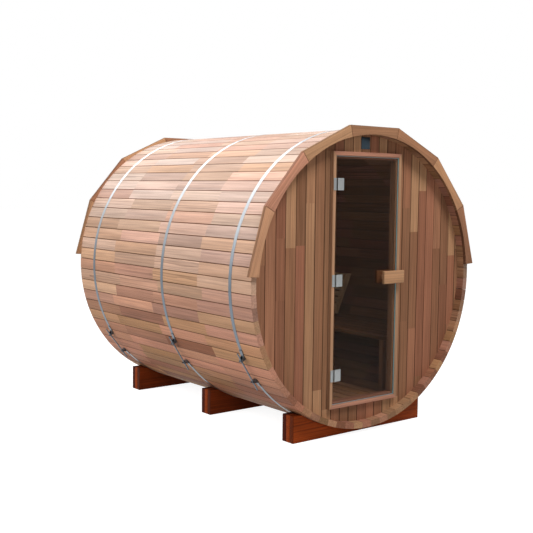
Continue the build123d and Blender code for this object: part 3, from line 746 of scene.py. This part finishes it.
class SAUNA_OT_walls(bpy.types.Operator):
    """Build the end walls from upright boards with chamfered joints"""

    bl_idname = "sauna.walls"
    bl_label = "Walls"

    def build_wall(self, name, seed, back_y, opening, nodes):
        size, colour = sizes(), colours()
        timber = Timber(seed, (
            colour.cedar_brown, colour.cedar_red, colour.cedar_tan, colour.cedar_brown,
        ), spread=0.15)
        place = Matrix.Translation((0, back_y, 0)) @ FACING_FRONT
        reach = int(WALL_RADIUS / size.board_pitch) + 1
        for index in range(-reach, reach + 1):
            left = (index - 0.5) * size.board_pitch
            right = left + size.board_pitch
            for low, high in self.runs(left, right, opening, timber.random):
                for part_left, part_right in self.beside(left, right, low, high, opening):
                    board = wall_board(
                        part_left, part_right, low, high, size.wall_thickness, size.board_chamfer,
                    )
                    if board:
                        timber.add(board, place, edge_shade=0.4)
        return timber.finish(name, cedar(), "cabin", "cedar_boards", *nodes)

    def runs(self, left, right, opening, dice):
        """The heights between which a board runs in one piece."""
        splices = [dice.uniform(-0.8, -0.05), dice.uniform(0.05, 0.8)]
        marks = [-WALL_RADIUS, *sorted(dice.sample(splices, dice.choice((1, 2)))), WALL_RADIUS]
        if opening:
            half_width, low, high = opening
            if left < half_width and right > -half_width:
                marks = [-WALL_RADIUS, low, high, WALL_RADIUS]
        return list(zip(marks, marks[1:]))

    def beside(self, left, right, low, high, opening):
        """The parts of a board that stand clear of the door opening."""
        if not opening or low < opening[1] - 0.001 or high > opening[2] + 0.001:
            return [(left, right)]
        half_width = opening[0]
        if left >= half_width or right <= -half_width:
            return [(left, right)]
        if left < -half_width:
            return [(left, -half_width)]
        if right > half_width:
            return [(half_width, right)]
        return []

    def execute(self, context):
        opening = (
            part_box("front_wall_right")[0].x, SILL_LOW.z - AXIS_Z, HEAD_HIGH.z - AXIS_Z,
        )
        front_back_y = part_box("front_wall_left")[1].y
        self.build_wall("front_wall_boards", 21, front_back_y, opening, (
            "front_wall_left", "front_wall_right", "front_wall_over_door", "front_wall_under_door",
        ))
        self.build_wall("rear_wall_boards", 22, WALL_HIGH.y, None, ("rear_wall",))
        return {"FINISHED"}


def mitred_bar(half_run, reach, face, depth):
    """A bar across the top of an opening: local Y along it, local X outwards."""
    board = bmesh.new()
    corners = (
        (reach, -half_run), (reach, half_run),
        (reach - face, half_run - face), (reach - face, -half_run + face),
    )
    board.faces.new([board.verts.new((x, y, 0)) for x, y in corners])
    thicken(board, depth)
    return board


class SAUNA_OT_door_frame(bpy.types.Operator):
    """Make the mitred door frame with its stops"""

    bl_idname = "sauna.door_frame"
    bl_label = "Door frame"

    def execute(self, context):
        size, colour = sizes(), colours()
        half_width = JAMB_HIGH.x
        half_height = (HEAD_HIGH.z - SILL_LOW.z) / 2
        front_y, back_y = HEAD_LOW.y, HEAD_HIGH.y
        stop_y = GLASS_HIGH.y + STOP_CLEARANCE
        stop_face = size.frame_face + size.stop_lap
        timber = Timber(31)
        across = (half_width, half_height, colour.cedar_pink)
        upright = (half_height, half_width, colour.cedar_pale)
        for quarter, (half_run, reach, tone) in enumerate((across, upright, across, upright)):
            turn = Matrix.Rotation(math.pi / 2 * (1 - quarter), 4, "Z")
            for start_y, end_y, face, edge in (
                (stop_y, front_y, size.frame_face, FRAME_EDGE),
                (back_y, stop_y, stop_face, STOP_EDGE),
            ):
                bar = mitred_bar(half_run - MITRE_SEAM, reach, face, start_y - end_y)
                bevel(bar, [line for line in bar.edges if line.calc_length() > half_run], edge)
                place = Matrix.Translation((0, start_y, 0)) @ FACING_FRONT @ turn
                timber.add(bar, place, tone, edge_shade=0.8)
        timber.finish("door_frame", cedar(), "cabin", "cedar_frame",
                      "door_head", "door_sill", "door_jamb_left", "door_jamb_right")
        return {"FINISHED"}


class SAUNA_OT_glass(bpy.types.Operator):
    """Set the tinted glass with its ground rim"""

    bl_idname = "sauna.glass"
    bl_label = "Door glass"

    def execute(self, context):
        low, high = GLASS_LOW, GLASS_HIGH
        pane = bmesh.new()
        bmesh.ops.create_cube(pane, size=1)
        bmesh.ops.scale(pane, vec=high - low, verts=pane.verts)
        upright_corners = [
            line for line in pane.edges
            if abs(line.verts[0].co.y - line.verts[1].co.y) > (high.y - low.y) / 2
        ]
        bevel(pane, upright_corners, PANE_CORNER, segments=4)
        bevel(pane, pane.edges[:], PANE_EDGE, segments=1)
        bmesh.ops.translate(pane, vec=(low + high) / 2, verts=pane.verts)
        finish_piece("door_pane", pane, glass_material(), "door", "tinted_glass", "door_glass")

        across = (high.x - MITRE_SEAM, (high.z - low.z) / 2 - MITRE_SEAM)
        upright = tuple(reversed(across))
        rim = []
        for quarter, (half_run, reach) in enumerate((across, upright, across)):
            strip = mitred_bar(half_run, reach, RIM_WIDTH, high.y - low.y - 2 * RIM_WIDTH)
            turn = Matrix.Rotation(math.pi / 2 * (1 - quarter), 4, "Z")
            strip.transform(Matrix.Translation((0, high.y - RIM_WIDTH, 0)) @ FACING_FRONT @ turn)
            rim.append(strip)
        finish_piece("glass_rim", gather(rim), rim_glow_material(), "door", "tinted_glass")
        return {"FINISHED"}


def block(low, high, edge):
    """A box between two corners with rounded edges."""
    box = bmesh.new()
    bmesh.ops.create_cube(box, size=1)
    bmesh.ops.scale(box, vec=Vector(high) - Vector(low), verts=box.verts)
    bevel(box, box.edges[:], edge)
    bmesh.ops.translate(box, vec=(Vector(low) + Vector(high)) / 2, verts=box.verts)
    return box


def rod(radius, length, place, edge, segments=20):
    """A round bar along its local Z with rounded rims, moved to its place."""
    bar = bmesh.new()
    bmesh.ops.create_cone(
        bar, cap_ends=True, segments=segments, radius1=radius, radius2=radius, depth=length
    )
    rims = [line for line in bar.edges if abs(line.verts[0].co.z - line.verts[1].co.z) < 1e-6]
    bevel(bar, rims, edge)
    bar.transform(place)
    return bar


def gather(parts):
    """Joins several small meshes into one."""
    whole = bmesh.new()
    for part in parts:
        scratch = bpy.data.meshes.new("part")
        part.to_mesh(scratch)
        whole.from_mesh(scratch)
        bpy.data.meshes.remove(scratch)
        part.free()
    return whole


class SAUNA_OT_hinges(bpy.types.Operator):
    """Fit the three hinges on the left edge of the glass"""

    bl_idname = "sauna.hinges"
    bl_label = "Hinges"

    def execute(self, context):
        leaf_low, leaf_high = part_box("hinge_frame_leaves")
        clamp_low, clamp_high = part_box("hinge_glass_clamps")
        height, plate = sizes().hinge_height, sizes().hinge_plate
        spacing = (leaf_high.z - leaf_low.z - height) / 2
        leaves, clamps = [], []
        plate_front = GLASS_LOW.y - plate
        barrel = (height - KNUCKLE_GAP) / 2
        rise = (barrel + KNUCKLE_GAP) / 2
        knuckle = clamp_low.x + (PIVOT.x - clamp_low.x) * 2
        for index in range(3):
            bottom = leaf_low.z + index * spacing
            middle = bottom + height / 2
            leaves.append(block(
                (leaf_low.x, plate_front, bottom),
                (clamp_low.x - KNUCKLE_GAP, GLASS_LOW.y, bottom + height), STEEL_EDGE,
            ))
            clamps.append(block(
                (knuckle + KNUCKLE_GAP, plate_front, bottom),
                (clamp_high.x, GLASS_LOW.y, bottom + height), STEEL_EDGE,
            ))
            clamps.append(block(
                (CLAMP_CLEARANCE - JAMB_LOW.x, GLASS_HIGH.y, bottom),
                (clamp_high.x, GLASS_HIGH.y + plate, bottom + height), STEEL_EDGE,
            ))
            for offset, group in ((-rise, leaves), (rise, clamps)):
                group.append(rod(
                    PIVOT.x - clamp_low.x, barrel,
                    Matrix.Translation((PIVOT.x, PIVOT.y, middle + offset)), 0.0008,
                ))
            for side in (-1, 1):
                for x, group in (
                    ((leaf_low.x + clamp_low.x) / 2 - 0.002, leaves),
                    (knuckle + 0.030, clamps),
                ):
                    group.append(rod(
                        0.0042, 0.002,
                        Matrix.Translation((
                            x, plate_front - 0.0006, middle + side * HINGE_SCREW_RISE,
                        )) @ TO_FRONT,
                        0.0006, 16,
                    ))
        finish_piece("hinge_leaves", gather(leaves), hinge_steel(), "cabin", "satin_steel",
                     "hinge_frame_leaves", "hinge_pins")
        finish_piece("hinge_clamps", gather(clamps), hinge_steel(), "door", "satin_steel",
                     "hinge_glass_clamps")
        return {"FINISHED"}


class SAUNA_OT_handle(bpy.types.Operator):
    """Fit the cedar handle planks on both sides of the glass"""

    bl_idname = "sauna.handle"
    bl_label = "Handle"

    def execute(self, context):
        colour = colours()
        for seed, node, tone in (
            (41, "handle_outer", colour.cedar_tan), (42, "handle_inner", colour.cedar_brown),
        ):
            low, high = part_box(node)
            timber = Timber(seed)
            size = high - low
            piece = plank(size.z, size.x, size.y, EASED_EDGE, round_ends=True)
            place = Matrix.Translation((low + high) / 2) @ HANDLE_WISE
            timber.add(piece, place, tone, edge_shade=0.9)
            timber.finish(node + "_plank", cedar(), "door", "cedar_handle", node)
        return {"FINISHED"}


class SAUNA_OT_plate(bpy.types.Operator):
    """Screw the blank square plate over the door"""

    bl_idname = "sauna.plate"
    bl_label = "Blank plate"

    def execute(self, context):
        side = sizes().plate_side
        wall_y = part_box("front_wall_left")[0].y
        centre_z = AXIS_Z + PLATE_RISE
        parts = [block(
            (PLATE_CENTRE_X - side / 2, wall_y - PLATE_THICKNESS, centre_z - side / 2),
            (PLATE_CENTRE_X + side / 2, wall_y, centre_z + side / 2), 0.001,
        )]
        for across in (-1, 1):
            for up in (-1, 1):
                parts.append(rod(
                    0.0028, 0.0016,
                    Matrix.Translation((
                        PLATE_CENTRE_X + across * side * PLATE_SCREW_SHARE,
                        wall_y - PLATE_THICKNESS - 0.0004,
                        centre_z + up * side * PLATE_SCREW_SHARE,
                    )) @ TO_FRONT, 0.0005, 14,
                ))
        finish_piece("blank_plate", gather(parts),
                     steel_material("Blank plate bronze", colours().plate_bronze, 0.3),
                     "cabin", "satin_steel")
        return {"FINISHED"}


class SAUNA_OT_cradles(bpy.types.Operator):
    """Laminate the three saddle cradles from stained planks"""

    bl_idname = "sauna.cradles"
    bl_label = "Cradles"

    def execute(self, context):
        colour = colours()
        saddle = BARREL_RADIUS / math.cos(math.pi / sizes().stave_count) + SADDLE_CLEARANCE
        # Painted shade: the front plies of the middle and rear cradles, in the barrel's shade, lean
        # further towards the dark stain
        for seed, name, front_share_painted_shade in (
            (51, "cradle_front", 1), (52, "cradle_middle", 0.55), (53, "cradle_rear", 0.55),
        ):
            low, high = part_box(name)
            half = (high.x - low.x) / 2
            ply = (high.y - low.y) / 3
            timber = Timber(seed)
            tip = math.acos((AXIS_Z - high.z) / saddle)
            for index, (share, end_shade) in enumerate(((front_share_painted_shade, 0.35), (1, 0.8), (0, 0.8))):
                board = bmesh.new()
                start = board.verts.new((
                    AXIS_Z - saddle * math.cos(tip), -saddle * math.sin(tip), 0,
                ))
                bmesh.ops.spin(
                    board, geom=[start], cent=(AXIS_Z, 0, 0), axis=(0, 0, 1), angle=-2 * tip,
                    steps=28,
                )
                arc = board.verts[:]
                corners = [(high.z, half), (low.z, half), (low.z, -half), (high.z, -half)]
                board.faces.new(arc + [board.verts.new((x, y, 0)) for x, y in corners])
                thicken(board, ply - PLY_SEAM)
                bevel(board, [line for line in board.edges if line.calc_length() > 0.1], EASED_EDGE)
                tone = Vector(colour.stain_dark).lerp(Vector(colour.stain_warm), share)
                timber.add(board, Matrix.Translation((0, low.y + index * ply, 0)) @ CROSSWISE, tone,
                           edge_shade=0.6, end_shade=end_shade)
            timber.finish(name + "_timbers", stained_timber(), "cabin", "stained_cradle", name)
        return {"FINISHED"}


class SAUNA_OT_bands(bpy.types.Operator):
    """Finish the steel hoops and their tensioners"""

    bl_idname = "sauna.bands"
    bl_label = "Bands"

    def execute(self, context):
        for name in ("front", "middle", "rear"):
            for node in (f"band_{name}", f"tensioner_{name}"):
                materials = frame["nodes"][node].data.materials
                materials.clear()
                materials.append(band_steel())
        self.add_nuts()
        return {"FINISHED"}

    def add_nuts(self):
        """A hexagon nut and a washer behind each ear of the three tensioners."""
        size = sizes()
        seat = (BARREL_RADIUS + BAND_TOP) / math.cos(math.pi / size.stave_count) + EAR_CLEARANCE
        rod_radius = seat + ROD_HEIGHT
        nuts = []
        for name, turn in (("front", 0.0), ("middle", 0.0), ("rear", REAR_TENSIONER_TURN)):
            low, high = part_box(f"tensioner_{name}")
            upper, lower = (
                Vector((-rod_radius * math.sin(angle), (low.y + high.y) / 2,
                        AXIS_Z + rod_radius * math.cos(angle)))
                for angle in (size.ear_angle + turn, size.ear_angle + size.ear_span / seat + turn)
            )
            run = (lower - upper).normalized()
            along = run.to_track_quat("Z", "Y").to_matrix().to_4x4()
            for ear, outwards in ((upper, -run), (lower, run)):
                for reach, radius, depth, sides in (
                    (0.0045, 0.0105, 0.0015, 24), (0.0095, size.nut_radius, 0.008, 6),
                ):
                    place = Matrix.Translation(ear + outwards * reach) @ along
                    nuts.append(rod(radius, depth, place, 0.0004, sides))
        finish_piece("tensioner_nuts", gather(nuts), band_steel(), "cabin", "stainless_band")


class SAUNA_OT_inside(bpy.types.Operator):
    """Lay the floor and bench boards and dress the backrest and supports"""

    bl_idname = "sauna.inside"
    bl_label = "Inside"

    def execute(self, context):
        size, colour = sizes(), colours()
        for seed, node, width, gap in (
            (61, "floor_boards", size.floor_board, size.floor_gap),
            (62, "bench_slats", size.bench_slat, size.bench_gap),
        ):
            low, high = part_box(node)
            timber = Timber(seed, (colour.cedar_tan, colour.cedar_pale, colour.cedar_ochre))
            for index in range(round((high.x - low.x + gap) / (width + gap))):
                board = plank(width, high.y - low.y, high.z - low.z, EASED_EDGE)
                timber.add(board, Matrix.Translation((
                    low.x + width / 2 + index * (width + gap), (low.y + high.y) / 2,
                    (low.z + high.z) / 2,
                )))
            timber.finish(node + "_planks", cedar(), "cabin", "cedar_interior", node)
        for material, nodes in (
            (plain_cedar("Pale slats", "Y", colour.aspen), ("backrest_slats",)),
            (plain_cedar("Pale ribs", "Z", colour.aspen), ("backrest_ribs",)),
            (plain_cedar("Cross timbers", "X", colour.cedar_tan),
             ("floor_bearers", "handle_standoffs")),
            (plain_cedar("Upright timbers", "Z", colour.cedar_tan), ("bench_supports",)),
            (hinge_steel(), ("handle_bolts",)),
        ):
            for node in nodes:
                materials = frame["nodes"][node].data.materials
                materials.clear()
                materials.append(material)
        return {"FINISHED"}


def plain_cedar(name, along, tone):
    """Timber for pieces that keep their shape, with the grain along one axis."""
    material, tree, shader = new_material(name)
    turned = {"X": (0, 0, math.pi / 2), "Y": (0, 0, 0), "Z": (math.pi / 2, 0, 0)}[along]
    place = add_node(tree, "ShaderNodeTexCoord")
    mapping = add_node(tree, "ShaderNodeMapping", {"Rotation": turned})
    tree.links.new(place.outputs["Object"], mapping.inputs["Vector"])
    wood = add_node(tree, "ShaderNodeGroup", node_tree=shared_group("Sawn wood", wood_group))
    wood.inputs["Tone"].default_value = (*tone, 1)
    wood.inputs["Ring spacing"].default_value = 0.004
    wood.inputs["Ring depth"].default_value = 0.35
    wood.inputs["Streaks"].default_value = 1.0
    tree.links.new(mapping.outputs["Vector"], wood.inputs["Grain"])
    return dress(material, tree, shader, wood, 0.0003)


class SAUNA_OT_stage(bpy.types.Operator):
    """Set the floor, the lights and the camera"""

    bl_idname = "sauna.stage"
    bl_label = "Stage"

    def in_view(self, tree):
        """One where the camera, a reflection or the glass looks, zero for the light it sheds."""
        path = add_node(tree, "ShaderNodeLightPath")
        seen = math_node(
            tree, "MAXIMUM", path.outputs["Is Camera Ray"], path.outputs["Is Glossy Ray"]
        )
        return math_node(tree, "MAXIMUM", seen, path.outputs["Is Transmission Ray"])

    def add_floor(self):
        ground = bmesh.new()
        bmesh.ops.create_grid(ground, x_segments=1, y_segments=1, size=FLOOR_REACH)
        mesh = bpy.data.meshes.new("studio_floor")
        ground.to_mesh(mesh)
        ground.free()
        floor = bpy.data.objects.new("studio_floor", mesh)
        bpy.context.scene.collection.objects.link(floor)
        floor.location.z = -0.0005
        material, tree, shader = new_material("Studio floor")
        shader.inputs["Base Color"].default_value = (FLOOR_GREY, FLOOR_GREY, FLOOR_GREY, 1)
        shader.inputs["Roughness"].default_value = 0.9
        shader.inputs["Specular IOR Level"].default_value = 0.0
        seen = self.in_view(tree)
        shader.inputs["Emission Color"].default_value = (1, 1, 1, 1)
        glow = math_node(tree, "MULTIPLY", seen, FLOOR_GLOW)
        tree.links.new(glow, shader.inputs["Emission Strength"])
        mesh.materials.append(material)

    def add_world(self):
        world = bpy.data.worlds.new("studio")
        world.use_nodes = True
        tree = world.node_tree
        background = tree.nodes["Background"]
        seen = self.in_view(tree)
        background.inputs["Color"].default_value = (1, 1, 1, 1)
        strength = math_node(tree, "MULTIPLY_ADD", seen, 1.0 - AMBIENT, AMBIENT)
        tree.links.new(strength, background.inputs["Strength"])
        bpy.context.scene.world = world

    def add_lamp(self, name, place, aim, side, power):
        lamp = bpy.data.lights.new(name, "AREA")
        lamp.shape = "SQUARE"
        lamp.size = side
        lamp.energy = power
        holder = bpy.data.objects.new(name, lamp)
        bpy.context.scene.collection.objects.link(holder)
        holder.location = place
        holder.rotation_euler = (Vector(aim) - Vector(place)).to_track_quat("-Z", "Y").to_euler()

    def add_camera(self):
        camera = bpy.data.cameras.new("photo_camera")
        camera.sensor_width = 36
        camera.lens = CAMERA_LENS
        holder = bpy.data.objects.new("photo_camera", camera)
        bpy.context.scene.collection.objects.link(holder)
        yaw, pitch, roll = CAMERA_YAW, CAMERA_PITCH, CAMERA_ROLL
        ahead = Vector((
            math.sin(yaw) * math.cos(pitch), math.cos(yaw) * math.cos(pitch), math.sin(pitch),
        ))
        right = Vector((math.cos(yaw), -math.sin(yaw), 0))
        up = right.cross(ahead)
        tilted_right = right * math.cos(roll) + up * math.sin(roll)
        tilted_up = up * math.cos(roll) - right * math.sin(roll)
        turn = Matrix((tilted_right, tilted_up, -ahead)).transposed()
        holder.matrix_world = Matrix.Translation(CAMERA_PLACE) @ turn.to_4x4()
        bpy.context.scene.camera = holder

    def execute(self, context):
        self.add_floor()
        self.add_world()
        for lamp in LAMPS:
            self.add_lamp(*lamp)
        self.add_camera()
        bpy.context.scene.view_settings.view_transform = "Standard"
        return {"FINISHED"}


class SAUNA_PT_panel(bpy.types.Panel):
    """Lists the sauna's pieces"""

    bl_idname = "SAUNA_PT_panel"
    bl_label = "Sauna"
    bl_space_type = "VIEW_3D"
    bl_region_type = "UI"
    bl_category = "Sauna"

    def draw(self, context):
        for operator in PIECES:
            self.layout.operator(operator.bl_idname)
        for name in SaunaSizes.__annotations__:
            self.layout.prop(context.scene.sauna_sizes, name)
        for name in SaunaColours.__annotations__:
            self.layout.prop(context.scene.sauna_colours, name)


PIECES = (
    SAUNA_OT_staves,
    SAUNA_OT_trim,
    SAUNA_OT_walls,
    SAUNA_OT_door_frame,
    SAUNA_OT_glass,
    SAUNA_OT_hinges,
    SAUNA_OT_handle,
    SAUNA_OT_plate,
    SAUNA_OT_cradles,
    SAUNA_OT_bands,
    SAUNA_OT_inside,
    SAUNA_OT_stage,
)


def register():
    for group in (SaunaSizes, SaunaColours, *PIECES, SAUNA_PT_panel):
        bpy.utils.register_class(group)
    bpy.types.Scene.sauna_sizes = bpy.props.PointerProperty(type=SaunaSizes)
    bpy.types.Scene.sauna_colours = bpy.props.PointerProperty(type=SaunaColours)


def unregister():
    del bpy.types.Scene.sauna_colours
    del bpy.types.Scene.sauna_sizes
    for group in (SAUNA_PT_panel, *reversed(PIECES), SaunaColours, SaunaSizes):
        bpy.utils.unregister_class(group)


def main():
    register()
    for operator in PIECES:
        getattr(bpy.ops.sauna, operator.bl_idname.split(".")[1])()


if __name__ == "__main__":
    main()
